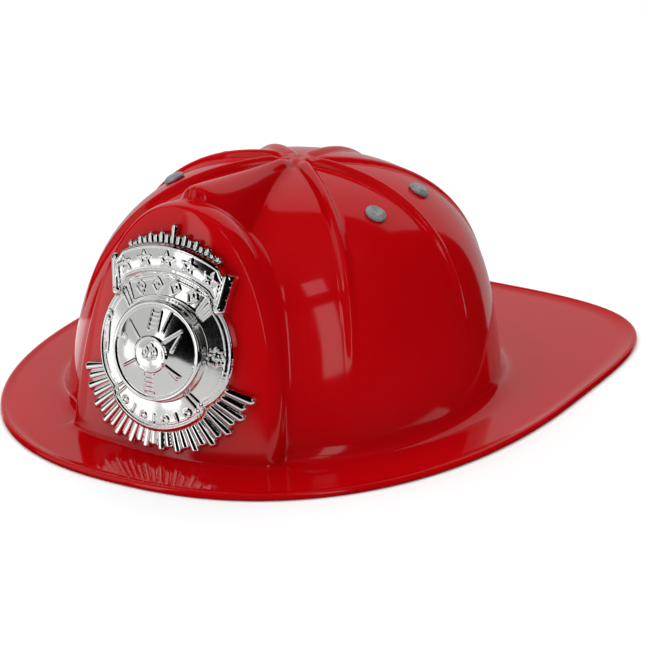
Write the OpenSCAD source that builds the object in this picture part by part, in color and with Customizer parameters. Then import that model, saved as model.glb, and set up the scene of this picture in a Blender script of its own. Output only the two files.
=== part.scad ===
// Costume firefighter helmet: moulded shell, chromed badge, crown straps and sliding headband.
// Millimetres, +Z up, the front faces -Y. The origin is on the floor under the middle of the brim.

/* [Brim] */
// Length of the brim, front to rear
brim_length = 314; // [300:1:330]
// Width of the brim
brim_width = 251; // [244:1:262]
// How far behind the origin the brim is widest
brim_widest_y = 27; // [20:1:32]
// Squareness of the front half of the brim's outline
brim_front_power = 2.3; // [2:0.05:2.6]
// Squareness of the rear tongue's outline
brim_rear_power = 4.3; // [3:0.1:5]
// Diameter of the rolled bead round the rim
bead_d = 3.2; // [2.8:0.1:4]
// Radius of the fillet between the crown and the brim
fillet_r = 7; // [5:0.5:9]

/* [Crown] */
// Wall thickness of the moulding
wall = 2; // [1.6:0.1:2.4]
// Half width of the crown where it meets the brim
crown_half_w = 95; // [93:0.5:98]
// Reach of the crown in front of its axis
crown_front = 109; // [107:0.5:111]
// Reach of the crown behind its axis
crown_rear = 104; // [103:0.5:107]
// Height of the crown above the brim, without the ribs
crown_height = 99.5; // [97:0.5:104]
// Position of the crown's axis, behind the origin
crown_y = -12.5; // [-15:0.5:-10]
// How far the apex leans to the rear
apex_lean = 5; // [3:0.5:7]
// Part of the crown's width lost between the brim and the apex
draft = 0.165; // [0.15:0.005:0.18]

/* [Ribs] */
// Height of a crown rib near the apex
rib_h = 3.4; // [2.5:0.1:4]
// Half width of a crown rib near the apex
rib_w = 3.2; // [2.6:0.1:4]
// Height of the keel's ridge above the brim, at the apex
keel_h = 101.7; // [100.5:0.1:103]
// Rise of the keel towards the front, per millimetre
keel_rise = 0.106; // [0.08:0.002:0.12]
// Distance from the crown's axis to the front of the boss
boss_reach = 86; // [83:0.5:89]
// Half width of the boss at the front end of the keel
boss_w = 9; // [8:0.5:10]

/* [Shield plinth] */
// Radius of the plinth's face, which is curved about the crown's axis
plinth_r = 115; // [113:0.5:117]
// Lean of the face to the rear, per millimetre of height
plinth_lean = 0.184; // [0.17:0.002:0.2]
// Half width of the arch at the brim
plinth_half_w = 48; // [46:0.5:50]
// Height of the arch above the brim
plinth_height = 104; // [102:0.5:106]

/* [Badge] */
// Radius of the lower fan's ray tips
fan_r = 43; // [40:0.5:45]
// Radius of the medallion
medallion_r = 21.5; // [20:0.5:23]
// Diameter of the studs moulded behind the badge
stud_d = 3; // [2.6:0.1:3.4]

/* [Crown rivets] */
// Place of the rivets down the crown's profile, degrees
rivet_w = 38; // [36:0.5:40]
// Diameter of a rivet's head
rivet_head_d = 9.6; // [8.5:0.1:11]
// Diameter of a rivet's shank
rivet_d = 4; // [3.6:0.1:4.2]

/* [Headband] */
// Outer half width of the headband
band_half_w = 75.5; // [74:0.5:76]
// Outer length of the headband's front arc
band_front = 94; // [91:0.5:95]
// Height of the headband
band_h = 24; // [22:1:25]
// Thickness of the headband and the straps
strap_t = 1.2; // [1:0.1:1.4]
// Width of the crown straps
strap_w = 15; // [13:1:16]
// Travel of the nape strap each way from its middle setting
nape_travel = 7; // [5:1:7]

/* [Hidden] */
$fn = 48;

base_z = 3;                     // top of the brim where the crown stands on it
crown_p = 2.34;                 // squareness of the crown's profile across
crown_q = 4.03;                 // squareness of the crown's profile upwards
oval_power = 2.12;              // squareness of the crown's plan
plinth_power = 2.15;            // squareness of the plinth's arch
bead_r = bead_d / 2;
bead_z = bead_r - 0.1 - base_z; // bead centre, above the brim's root; its foot is cut flat
rim_centre_y = brim_widest_y - crown_y;
rim_half_w = brim_width / 2 - bead_r;
rim_front = brim_length / 2 + brim_widest_y - bead_r;
rim_rear = brim_length / 2 - brim_widest_y - bead_r;
lean_angle = atan(plinth_lean);
clearance = 0.2;                // all round a shank in its hole

// ---- small helpers ----
function unit(v) = v / norm(v);
function mix(a, b, k) = a * (1 - k) + b * k;
function clamp01(v) = min(1, max(0, v));
function ease(v) = let (k = clamp01(v)) k * k * (3 - 2 * k);
function soft_max(a, b, k) = (a + b + sqrt((a - b) * (a - b) + k * k)) / 2;
function soft_min(a, b, k) = (a + b - sqrt((a - b) * (a - b) + k * k)) / 2;
function bezier3(a, b, c, k) = mix(mix(a, b, k), mix(b, c, k), k);
function bezier4(a, b, c, d, k) = mix(bezier3(a, b, c, k), bezier3(b, c, d, k), k);
function square_r(half_w, half_l, power, turn) =
    pow(pow(abs(sin(turn)) / half_w, power) + pow(abs(cos(turn)) / half_l, power), -1 / power);

// ---- the crown's surface, about its own axis; turn 0 is the front, and inset goes into the wall ----
function oval_r(turn, inset) =
    square_r(crown_half_w - inset, (cos(turn) > 0 ? crown_front : crown_rear) - inset, oval_power, turn);

function dome_pt(turn, down, inset) =
    let (rise = pow(cos(down), 2 / crown_q),
         r = oval_r(turn, inset) * pow(sin(down), 2 / crown_p) * (1 - draft * rise))
    [r * sin(turn), apex_lean * rise * rise - r * cos(turn), (crown_height - inset) * rise];

// A rib every 45 degrees that fades out down the wall.
function rib(turn, down, r) =
    let (off = (turn + 22.5) - 45 * floor((turn + 22.5) / 45) - 22.5,
         across = r * sin(off) / (rib_w * (0.55 + 0.45 * cos(down))))
    rib_h * pow(max(0, cos(down)), 0.7) * (1 - exp(-pow(r / 12, 2))) * exp(-across * across);

// The keel climbs from the apex ring to a boss at the front, as a rounded ridge along direction d.
function keel(d, inset) =
    let (top = (keel_h - 1.5 * inset) / max(0.2, d[2] + keel_rise * d[1]),
         front = (boss_reach - 1.5 * inset) / max(0.05, -d[1]),
         r = soft_min(top, front, 6),
         width = mix(rib_w, boss_w, ease(-d[1] * r / 75)) - 0.6 * inset)
    r - pow(d[0] * r, 2) / (1.2 * width) - 0.15 * pow(max(0, 12 + d[1] * r), 2);

// The plinth is a leaning cylinder cut to an arch, with drafted sides and a slope behind its ridge.
function plinth(d, inset) =
    let (r = (plinth_r - inset) / norm([d[0], d[1] - plinth_lean * d[2]]),
         out = pow(pow(abs(r * d[0]) / (plinth_half_w - inset), plinth_power)
             + pow(max(0, r * d[2]) / (plinth_height - inset), plinth_power), 1 / plinth_power),
         rise = min(1.3, r * d[2] / plinth_height),
         side_draft = 0.28 + 0.5 * pow(max(0, rise), 1.7),
         ridge = 1.085 + 0.03 * pow(rise, 4),
         side = 1 - side_draft * (out - 1),
         back = 1 - side_draft * (ridge - 1) - (0.9 + 0.4 * rise * rise) * (out - ridge),
         corner = 0.02 + 0.005 * inset)
    d[1] > -0.15 ? 0 : r * max(0, soft_min(soft_min(1, side, corner), back, 1.5 * corner));

function shell_pt(turn, down, inset) =
    let (p = dome_pt(turn, down, inset), r = norm(p), d = p / r,
         ribbed = r + (inset > 0 ? 0 : rib(turn, down, norm([p[0], p[1]]))))
    d * soft_max(soft_max(ribbed, keel(d, inset), 5), plinth(d, inset), 4);

function dome_normal(turn, down) =
    unit(cross(dome_pt(turn, down + 0.5, 0) - dome_pt(turn, down - 0.5, 0),
               dome_pt(turn + 0.5, down, 0) - dome_pt(turn - 0.5, down, 0)));

// ---- the brim: the rim's path, then the bead's section round it ----
function rim_pt(turn) =
    let (t = turn - 20 * sin(turn),
         r = square_r(rim_half_w, cos(t) > 0 ? rim_front : rim_rear,
                      cos(t) > 0 ? brim_front_power : brim_rear_power, t))
    [r * sin(t), rim_centre_y - r * cos(t), bead_z];

function rim_out(turn) =
    let (along = unit(rim_pt(turn + 1) - rim_pt(turn - 1)))
    [along[1], -along[0], 0];

function bead_pt(turn, angle) =
    rim_pt(turn) + rim_out(turn) * bead_r * cos(angle) + [0, 0, max(bead_r * sin(angle), 0.1 - bead_r)];

// ---- shell mesh: rings from the apex over the crown, round the rim and back inside to the apex ----
front_turns = [for (t = [0:2.5:42.5]) t];
side_turns = [0, 3, 7, 14, 22.5, 31, 38, 42];
rear_turns = [0, 3, 6.5, 10, 14, 18.5, 23, 30, 37, 42];
half_turns = concat(front_turns, [for (t = side_turns) 45 + t],
    [90], [for (i = [len(rear_turns) - 1:-1:0]) 135 - rear_turns[i]], [for (t = rear_turns) if (t > 0) 135 + t]);
turns = concat(half_turns, [180], [for (i = [len(half_turns) - 1:-1:1]) 360 - half_turns[i]]);
outer_rings = 26;
inner_rings = 20;
join_angle = 180 - asin(wall / 2 / bead_r);
fillet_down = acos(pow(fillet_r / crown_height, crown_q / 2));

// Rings crowd towards the wall, where the profile drops fastest.
function down_at(k) = 90 * (1 - pow(1 - k * (1 - sqrt(1 - fillet_down / 90)), 2));
function crown_ring(k, inset) = [for (t = turns) shell_pt(t, down_at(k), inset)];
function corner_pt(t, inset) = shell_pt(t, 90, inset) - [0, 0, inset];

// The fillet is tighter under the plinth, to clear the badge.
function tighter(turn) = 0.7 * ease((cos(turn) - 0.88) / 0.06);
function fillet_ring(k, inset) = [for (t = turns)
    let (corner = corner_pt(t, inset), rim = bead_pt(t, inset > 0 ? -join_angle : join_angle),
         foot = corner + (fillet_r + inset) * unit(rim - corner))
    mix(bezier3(shell_pt(t, fillet_down, inset), corner, foot, k), corner, tighter(t) * 4 * k * (1 - k))];

function brim_ring(k, inset) = [for (t = turns)
    let (corner = corner_pt(t, inset), rim = bead_pt(t, inset > 0 ? -join_angle : join_angle))
    mix(corner + (fillet_r + inset) * unit(rim - corner), rim, k)];

function bead_ring(angle) = [for (t = turns) bead_pt(t, angle)];

shell_rings = concat(
    [for (j = [1:outer_rings]) crown_ring(j / outer_rings, 0)],
    [for (k = [0.33, 0.67, 1]) fillet_ring(k, 0)],
    [for (k = [0.35, 0.7]) brim_ring(k, 0)],
    [for (a = [join_angle, 105, 70, 35, 0, -35, -70, -110, -join_angle]) bead_ring(a)],
    [for (k = [0.7, 0.35]) brim_ring(k, wall)],
    [for (k = [1, 0.67, 0.33]) fillet_ring(k, wall)],
    [for (j = [inner_rings:-1:1]) crown_ring(j / inner_rings, wall)]);

// A closed skin over rings of equal length, with a pole at each end.
module ring_skin(rings, first_pole, last_pole) {
    n = len(rings[0]);
    m = len(rings);
    points = concat([first_pole], [for (ring = rings) each ring], [last_pole]);
    faces = concat(
        [for (i = [0:n - 1]) [0, 1 + i, 1 + (i + 1) % n]],
        [for (j = [0:m - 2]) for (i = [0:n - 1]) for (half = [0, 1])
            let (a = 1 + j * n + i, b = 1 + j * n + (i + 1) % n, c = a + n, d = b + n)
            half == 0 ? [a, c, b] : [b, c, d]],
        [for (i = [0:n - 1]) [1 + m * n, 1 + (m - 1) * n + (i + 1) % n, 1 + (m - 1) * n + i]]);
    polyhedron(points, faces, convexity = 8);
}

module in_crown() {
    translate([0, crown_y, base_z])
        children();
}

// Local frame of the badge: x across, z up the leaning face, y into the shell.
module on_plinth() {
    in_crown()
        rotate([-lean_angle, 0, 0])
            children();
}

// Puts local +z along direction n at point p.
module aim(p, n) {
    translate(p)
        rotate([0, acos(n[2] / norm(n)), atan2(n[1], n[0])])
            children();
}

module shell() {
    apex = [0, apex_lean, crown_height];
    color([0.69, 0.02, 0.04])
        difference() {
            union() {
                in_crown()
                    ring_skin(shell_rings, apex, apex - [0, 0, wall]);
                in_crown()
                    translate(apex)
                        apex_hub();
            }
            for (t = rivet_turns)
                in_crown()
                    aim(dome_pt(t, rivet_w, 0), dome_normal(t, rivet_w))
                        cylinder(d = rivet_d + 2 * clearance, h = 16, center = true);
            on_plinth()
                for (s = badge_studs)
                    translate([s[0], -100, s[1]])
                        rotate([90, 0, 0])
                            cylinder(d = stud_d + 2 * clearance, h = 20);
        }
}

// The low ring with a dimple that the ribs run into.
module apex_hub() {
    rotate_extrude()
        polygon(concat([[0, -1], [0, 1.9]],
            [for (a = [150:-30:-30]) [4.2 + 2.6 * cos(a), 1.2 + 1.9 * sin(a)]], [[6.6, -1]]));
}

// ---- badge ----
face_r = plinth_r * cos(lean_angle);   // distance of the face from the leaning axis
badge_gap = 0.6;
badge_curve_r = 117;                   // a little flatter than the face, so the rim sits close
badge_centre_z = 20;                   // common centre of both fans and the ribbon
medallion_z = 24;
medallion_proud = 6.4;
badge_studs = [[0, 60], [-24, 14], [24, 14]];

// Rays of a fan as points, each ray with a tip of two points and a valley. The middle is longer or shorter.
function fan(count, first, last, tip, valley, middle, spread) =
    [for (i = [0:count - 1]) for (j = [0:2])
        let (step = (last - first) / count, a = first + step * (i + [0.18, 0.62, 0.92][j]),
             swell = middle * exp(-pow((i + 0.5 - count / 2) / spread, 2)),
             r = (j == 2 ? valley : tip - (i % 2 == 0 ? 0 : 1.5)) + swell)
        [r * cos(a), badge_centre_z + r * sin(a)]];

function arc(r, first, last, count, centre_z) =
    [for (i = [0:count]) let (a = mix(first, last, i / count)) [r * cos(a), centre_z + r * sin(a)]];

module badge_layer(proud, thick) {
    intersection() {
        translate([0, badge_curve_r - face_r - badge_gap, -40])
            difference() {
                cylinder(r = badge_curve_r + proud, h = 140, $fn = 180);
                translate([0, 0, -1])
                    cylinder(r = badge_curve_r + proud - thick, h = 142, $fn = 180);
            }
        rotate([90, 0, 0])
            linear_extrude(140)
                children();
    }
}

// A low dome whose foot is sunk into the medallion.
module medallion_dome() {
    rise = 6.5;
    dome_w = medallion_r - 2;
    ball_r = (dome_w * dome_w + rise * rise) / (2 * rise);
    rotate_extrude($fn = 72)
        polygon(concat([[0, -1]], [[dome_w, -1]],
            [for (i = [0:12]) let (a = asin(dome_w / ball_r) * (1 - i / 12))
                [ball_r * sin(a), ball_r * cos(a) - ball_r + rise]]));
}

module ribbon_outline() {
    polygon(concat(arc(49, 42, 138, 20, badge_centre_z), [[-33, 44], [-25, 41]],
        arc(38, 140, 40, 20, badge_centre_z), [[25, 41], [33, 44]]));
}

module shield_outline() {
    polygon(concat([for (i = [0:24])
        let (a = i * 15, wide = 33 + 1.5 * cos(4 * a))
        [wide * cos(a), 22 + (sin(a) > 0 ? 27 : 31) * sin(a)]]));
}

module badge() {
    color([0.78, 0.79, 0.8])
        on_plinth() {
            badge_layer(1.8, 1.8) {
                polygon(concat(fan(27, 193, 347, fan_r, fan_r - 4, -4.8, 5), [[0, badge_centre_z]]));
                polygon(concat(fan(17, 63, 117, 52, 48.5, 5.5, 0.8), [[0, badge_centre_z]]));
                shield_outline();
                ribbon_outline();
            }
            badge_layer(3.6, 2.2)
                shield_outline();
            badge_layer(4.4, 3)
                ribbon_outline();
            badge_layer(medallion_proud, 5)
                translate([0, medallion_z])
                    circle(r = medallion_r, $fn = 96);
            translate([0, -face_r - badge_gap - medallion_proud + 1, medallion_z])
                rotate([90, 0, 0])
                    medallion_dome();
            for (s = badge_studs)
                translate([s[0], -104, s[1]])
                    rotate([90, 0, 0])
                        cylinder(d = stud_d, h = (s[0] == 0 ? face_r : face_r - 2.4) - 104 + 1.4);
        }
}

module badge_push_nuts() {
    color([0.62, 0.62, 0.6])
        on_plinth()
            for (s = badge_studs)
                translate([s[0], s[0] == 0 ? wall + 0.3 - face_r : 5.9 - face_r, s[1]])
                    rotate([-90, 0, 0])
                        difference() {
                            cylinder(d = 9, h = 1.2);
                            translate([0, 0, -1])
                                cylinder(d = stud_d, h = 4);
                        }
}

// ---- crown rivets, midway between the ribs beside the sideways ribs ----
rivet_turns = [67.5, 112.5, 247.5, 292.5];
seat_gap = 1.6;                        // strap to the crown's hollow inner face
seat_depth = wall + seat_gap;

module at_rivet(i) {
    in_crown()
        aim(dome_pt(rivet_turns[i], rivet_w, 0), dome_normal(rivet_turns[i], rivet_w))
            children();
}

module rivet(i) {
    r = rivet_head_d / 2;
    shank = seat_depth + strap_t + 2;
    color([0.5, 0.52, 0.54])
        at_rivet(i)
            rotate_extrude()
                polygon(concat([[0, -shank], [rivet_d / 2 - 0.3, -shank], [rivet_d / 2, 0.3 - shank],
                    [rivet_d / 2, 0.1], [r - 0.3, 0.1], [r, 0.4], [r, 1.2]],
                    [for (a = [20:17.5:90]) [r - 1 + 0.9 * cos(a), 1 + 1.2 * sin(a)]],
                    [[r - 1.5, 2.1], [1.5, 1.8], [0, 1.8]]));
}

module rivet_cap(i) {
    color([0.6, 0.6, 0.58])
        at_rivet(i)
            translate([0, 0, -seat_depth - strap_t - 1.4])
                difference() {
                    cylinder(d = 9, h = 1.3);
                    translate([0, 0, -1])
                        cylinder(d = rivet_d, h = 4);
                }
}

// ---- crown straps: flat strips swept from peg to peg over the crown ----
band_cy = -5;                          // centre of the headband's front arc
band_low = 5;
band_high = band_low + band_h;
peg_z = band_high - 4;
pad_low = band_high - 8.5;
pad_high = band_high + 1;
pad_gap = 0.35;
front_peg_turn = 79.5;                 // along the front arc, 0 at the brow
rear_peg_y = 28;

function seat_pt(t) = dome_pt(t, rivet_w, 0) - dome_normal(t, rivet_w) * (seat_depth + strap_t / 2);
function side_of(t) = let (v = [cos(t), sin(t), 0], n = dome_normal(t, rivet_w)) unit(v - n * (v * n));
function seat_down(t) = unit(cross(side_of(t), dome_normal(t, rivet_w)));

// Peg place on the headband's outside, and the way out of it, for the strap end at rivet turn t.
function peg_pt(t) =
    let (side = sin(t) > 0 ? 1 : -1)
    cos(t) > 0 ? [side * band_half_w * sin(front_peg_turn), band_cy - band_front * cos(front_peg_turn), peg_z]
               : [side * band_half_w, rear_peg_y, peg_z];
function peg_out(t) =
    let (side = sin(t) > 0 ? 1 : -1)
    cos(t) > 0 ? unit([side * sin(front_peg_turn) / band_half_w, -cos(front_peg_turn) / band_front, 0])
               : [side, 0, 0];
function pad_side(t) = let (o = peg_out(t)) [-o[1], o[0], 0];
function pad_pt(t, z) =
    let (p = peg_pt(t) + peg_out(t) * (pad_gap + strap_t / 2)) [p[0], p[1], z];

function strap_ring(p, along, side) =
    let (a = unit(along), s = unit(side - a * (side * a)), n = cross(a, s))
    [for (c = [[-1, -1], [1, -1], [1, 1], [-1, 1]]) p + s * c[0] * strap_w / 2 + n * c[1] * strap_t / 2];

// From the peg pad up to the rivet seat.
function leg_rings(t) =
    let (down = seat_down(t), foot = pad_pt(t, pad_high), top = seat_pt(t) + down * 6,
         k1 = foot + [0, 0, 24], k2 = top + down * 13, steps = 10)
    concat([strap_ring(pad_pt(t, pad_low), [0, 0, 1], pad_side(t))],
        [for (i = [0:steps])
            let (k = i / steps, p = bezier4(foot, k1, k2, top, k),
                 q = bezier4(foot, k1, k2, top, k + 0.01))
            strap_ring(p, q - p, mix(pad_side(t), side_of(t), ease(k)))],
        [strap_ring(seat_pt(t) - down * 7, -down, side_of(t))]);

function over_rings(t, handle) =
    let (a = seat_pt(t) - seat_down(t) * 7, b = seat_pt(t + 180) - seat_down(t + 180) * 7,
         k1 = a - seat_down(t) * handle, k2 = b - seat_down(t + 180) * handle, steps = 12)
    [for (i = [1:steps - 1])
        let (k = i / steps)
        strap_ring(bezier4(a, k1, k2, b, k),
            bezier4(a, k1, k2, b, k + 0.01) - bezier4(a, k1, k2, b, k - 0.01), side_of(t))];

// Rings run from the far leg are turned end for end and side for side.
function turned(rings) = [for (i = [len(rings) - 1:-1:0]) [for (j = [1, 0, 3, 2]) rings[i][j]]];

module strip_skin(rings) {
    m = len(rings);
    faces = concat([[0, 1, 2, 3]],
        [for (j = [0:m - 2]) for (i = [0:3]) for (half = [0, 1])
            let (a = 4 * j + i, b = 4 * j + (i + 1) % 4)
            half == 0 ? [a, a + 4, b] : [b, a + 4, b + 4]],
        [[4 * m - 1, 4 * m - 2, 4 * m - 3, 4 * m - 4]]);
    polyhedron([for (ring = rings) each ring], faces, convexity = 6);
}

stud_hole_z = 80;
module crown_strap(t, handle) {
    color([0.93, 0.92, 0.9])
        in_crown()
            difference() {
                union() {
                    strip_skin(concat(leg_rings(t), over_rings(t, handle), turned(leg_rings(t + 180))));
                    for (e = [t, t + 180])
                        aim(peg_pt(e) + peg_out(e) * (pad_gap + 0.1), -peg_out(e)) {
                            cylinder(d = 3.6, h = pad_gap + 0.1 + strap_t + 1.2);
                            translate([0, 0, pad_gap + 0.1 + strap_t + 0.2])
                                cylinder(d = 6, h = 1);
                        }
                }
                for (e = [t, t + 180])
                    aim(seat_pt(e), dome_normal(e, rivet_w))
                        cylinder(d = rivet_d + 2 * clearance, h = 8, center = true);
                translate([0, crossing_y, stud_hole_z])
                    cylinder(d = 4 + 2 * clearance, h = 30);
            }
}

// ---- crown stud, through both straps where they cross ----
front_handle = 10;
rear_handle = 3;
function crossing_pt(t, handle) =
    let (a = seat_pt(t) - seat_down(t) * 7, b = seat_pt(t + 180) - seat_down(t + 180) * 7)
    bezier4(a, a - seat_down(t) * handle, b - seat_down(t + 180) * handle, b, 0.5);
high_crossing = crossing_pt(67.5, front_handle);
low_crossing = crossing_pt(112.5, rear_handle);
crossing_y = (high_crossing[1] + low_crossing[1]) / 2;

module crown_stud() {
    top = high_crossing[2] + strap_t / 2 + 0.25;
    low = low_crossing[2] - strap_t / 2 - 0.25;
    color([0.93, 0.92, 0.9])
        in_crown()
            translate([0, crossing_y, 0])
                rotate_extrude()
                    polygon([[0, low - 1.2], [4, low - 1.2], [4.4, low - 0.8], [4.4, low], [2, low],
                        [2, top], [4.4, top], [4.4, top + 0.7], [4, top + 1], [0, top + 1]]);
}

// ---- headband ----
slot_y = 10;
slot_z = 12;
tail_low_y = 22;
tail_high_y = 38;

function front_arc(inset, first, last, count) =
    [for (i = [0:count]) let (a = mix(first, last, i / count))
        [(band_half_w - inset) * sin(a), band_cy - (band_front - inset) * cos(a)]];

module band_strip(tail_y, low, high) {
    translate([0, 0, low])
        linear_extrude(high - low)
            polygon(concat([[-band_half_w, tail_y]], front_arc(0, -90, 90, 48),
                [[band_half_w, tail_y], [band_half_w - strap_t, tail_y]],
                front_arc(strap_t, 90, -90, 48), [[strap_t - band_half_w, tail_y]]));
}

module headband() {
    slot_d = 4 + 2 * 0.15;
    color([0.93, 0.92, 0.9])
        in_crown()
            difference() {
                union() {
                    band_strip(tail_low_y, band_low, band_high);
                    band_strip(tail_high_y, pad_low - 0.5, band_high);
                }
                for (t = rivet_turns)
                    aim(peg_pt(t) + peg_out(t), -peg_out(t))
                        cylinder(d = 4, h = 4);
                for (side = [-1, 1])
                    translate([side * (band_half_w + 1), slot_y, slot_z])
                        rotate([0, -side * 90, 0]) {
                            for (y = [-nape_travel, nape_travel])
                                translate([0, y, 0])
                                    cylinder(d = slot_d, h = 4);
                            translate([-slot_d / 2, -nape_travel, 0])
                                cube([slot_d, 2 * nape_travel, 4]);
                        }
            }
}

module brow_pad() {
    pad_t = 3;
    color([0.2, 0.2, 0.21])
        in_crown()
            translate([0, 0, band_low + 1])
                linear_extrude(band_h - 2)
                    polygon(concat(front_arc(strap_t + 0.05, -58, 58, 40),
                        front_arc(strap_t + pad_t, 58, -58, 40)));
}

// ---- nape strap, its legs outside the headband's tails ----
nape_low = band_low;
nape_high = pad_low - 1.5;
nape_gap = 0.3;
nape_front_y = 2;
nape_bend_y = 30;
nape_rear = 52;

function nape_arc(outset) =
    [for (i = [0:48]) let (a = 90 + i * 3.75)
        [(band_half_w + nape_gap + outset) * sin(a), nape_bend_y - (nape_rear - strap_t + outset) * cos(a)]];

module nape_strap() {
    x_in = band_half_w + nape_gap;
    x_out = x_in + strap_t;
    outline = concat([[x_in, nape_front_y], [x_out, nape_front_y]], nape_arc(strap_t),
        [[-x_out, nape_front_y], [-x_in, nape_front_y]],
        [for (i = [48:-1:0]) nape_arc(0)[i]]);
    color([0.93, 0.92, 0.9])
        in_crown()
            difference() {
                translate([0, 0, nape_low])
                    linear_extrude(nape_high - nape_low)
                        polygon(outline);
                for (side = [-1, 1])
                    translate([side * (band_half_w - 1), slot_y, slot_z])
                        rotate([0, side * 90, 0])
                            cylinder(d = 4, h = 5);
            }
}

module adjuster_stud(side) {
    shank = 2 * strap_t + nape_gap + 0.15;
    color([0.8, 0.8, 0.78])
        in_crown()
            translate([side * (band_half_w + nape_gap + strap_t), slot_y, slot_z])
                rotate([0, -side * 90, 0])
                    rotate_extrude()
                        polygon([[0, -1], [3.6, -1], [4, -0.6], [4, 0], [2, 0], [2, shank], [4, shank],
                            [4, shank + 0.6], [3.6, shank + 1], [0, shank + 1]]);
}

shell();
badge();
badge_push_nuts();
rivet(0);  // rivet_front_right
rivet(1);  // rivet_rear_right
rivet(2);  // rivet_rear_left
rivet(3);  // rivet_front_left
rivet_cap(0);  // rivet_cap_front_right
rivet_cap(1);  // rivet_cap_rear_right
rivet_cap(2);  // rivet_cap_rear_left
rivet_cap(3);  // rivet_cap_front_left
crown_strap(67.5, front_handle);  // crown_strap_front
crown_strap(112.5, rear_handle);  // crown_strap_rear
crown_stud();
headband();
brow_pad();
nape_strap();
adjuster_stud(1);  // adjuster_stud_right
adjuster_stud(-1);  // adjuster_stud_left
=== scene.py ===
"""Costume firefighter helmet: the looks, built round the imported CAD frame.

Shapes are in millimetres from the foot of the crown's axis, front -y; place() puts them into the frame.
"""
import math

import bpy
import numpy as np
from mathutils import Matrix, Vector


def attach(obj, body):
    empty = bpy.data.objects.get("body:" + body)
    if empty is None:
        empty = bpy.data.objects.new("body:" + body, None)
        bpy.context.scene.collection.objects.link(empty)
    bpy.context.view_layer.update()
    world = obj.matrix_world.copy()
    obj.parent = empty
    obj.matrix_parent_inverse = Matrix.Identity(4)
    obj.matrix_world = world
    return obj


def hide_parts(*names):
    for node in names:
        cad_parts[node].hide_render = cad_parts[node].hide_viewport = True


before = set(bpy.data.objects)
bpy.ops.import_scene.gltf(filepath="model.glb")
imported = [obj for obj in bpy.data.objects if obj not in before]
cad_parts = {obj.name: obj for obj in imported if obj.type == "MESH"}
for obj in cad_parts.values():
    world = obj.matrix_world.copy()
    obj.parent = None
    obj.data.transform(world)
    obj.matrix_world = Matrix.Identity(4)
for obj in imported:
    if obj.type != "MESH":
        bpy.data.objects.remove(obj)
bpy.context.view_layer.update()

MM = 0.001
CROWN = np.array([0.0, -12.5, 3.0])     # foot of the crown's axis on the brim, from the frame's origin
WALL = 2.0

CROWN_HALF_W = 95.0
CROWN_FRONT = 109.0
CROWN_REAR = 104.0
CROWN_H = 99.5
CROWN_PLAN_POWER = 2.12
CROWN_RISE_POWER = 4.03
CROWN_SIDE_POWER = 2.34
CROWN_TAPER = 0.165
APEX_BACK = 5.0
APEX = np.array([0.0, APEX_BACK, CROWN_H])

RIB_TURN = 45                           # degrees from one rib to the next
RIB_H = 3.4
RIB_REAR_DROP = 1.5
RIB_HALF_W = 3.4
RIB_START_R = 8.5

KEEL_TOP = 101.7
KEEL_REACH = 86.0
KEEL_SLOPE = 0.106
KEEL_W = 3.2
BOSS_W = 9.0
BOSS_GROOVE = 0.55

PLINTH_R = 115.0
PLINTH_HALF_W = 48.0
PLINTH_H = 104.0
PLINTH_POWER = 2.15
PLINTH_TURN = 42                        # degrees to each side of the front that the plinth takes up
LEAN_SLOPE = 0.184                      # how far the plinth's face leans back for its height
LEAN = math.atan(LEAN_SLOPE)
FACE_R = PLINTH_R * math.cos(LEAN)


# ---- small helpers ----
def smooth01(v):
    k = np.clip(v, 0, 1)
    return k * k * (3 - 2 * k)


def soft_max(a, b, k):
    return (a + b + np.sqrt((a - b) ** 2 + k * k)) / 2


def soft_min(a, b, k):
    return (a + b - np.sqrt((a - b) ** 2 + k * k)) / 2


def unit(v):
    return v / np.maximum(np.linalg.norm(v, axis=-1, keepdims=True), 1e-12)


def place(name, points, faces, slot):
    """A smooth piece from points in crown millimetres, riding on the helmet."""
    mesh = bpy.data.meshes.new(name)
    co = (np.asarray(points, float) + CROWN) * MM
    mesh.from_pydata(co.tolist(), [], [list(map(int, f)) for f in faces])
    mesh.validate()
    mesh.polygons.foreach_set("use_smooth", [True] * len(mesh.polygons))
    mesh.update()
    piece = bpy.data.objects.new(name, mesh)
    bpy.context.scene.collection.objects.link(piece)
    mesh.materials.append(MATERIALS[slot])
    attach(piece, "helmet")
    return piece


def grid_faces(rows, columns, wrap=False, flip=False, start=0):
    """Quads over a rows x columns grid of points."""
    j, i = np.meshgrid(np.arange(rows - 1), np.arange(columns if wrap else columns - 1), indexing="ij")
    a = j * columns + i
    b = j * columns + (i + 1) % columns
    quads = np.stack([a, b, b + columns, a + columns], -1).reshape(-1, 4) + start
    return quads[:, ::-1] if flip else quads


def spindle_faces(rings, columns):
    """Faces of rings of points that close on a first and a last point."""
    last = 1 + rings * columns
    faces = [[0, 1 + i, 1 + (i + 1) % columns] for i in range(columns)]
    faces += grid_faces(rings, columns, wrap=True, flip=True, start=1).tolist()
    faces += [[last, last - columns + (i + 1) % columns, last - columns + i] for i in range(columns)]
    return faces


def lathe(profile, count):
    """Points and faces of a profile of (radius, height) turned about +z; its ends are on the axis."""
    points = [[0, 0, profile[0][1]]]
    turns = np.arange(count) * 2 * math.pi / count
    for r, z in profile[1:-1]:
        points += [[r * math.cos(t), r * math.sin(t), z] for t in turns]
    points.append([0, 0, profile[-1][1]])
    return np.array(points, float), spindle_faces(len(profile) - 2, count)


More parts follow.
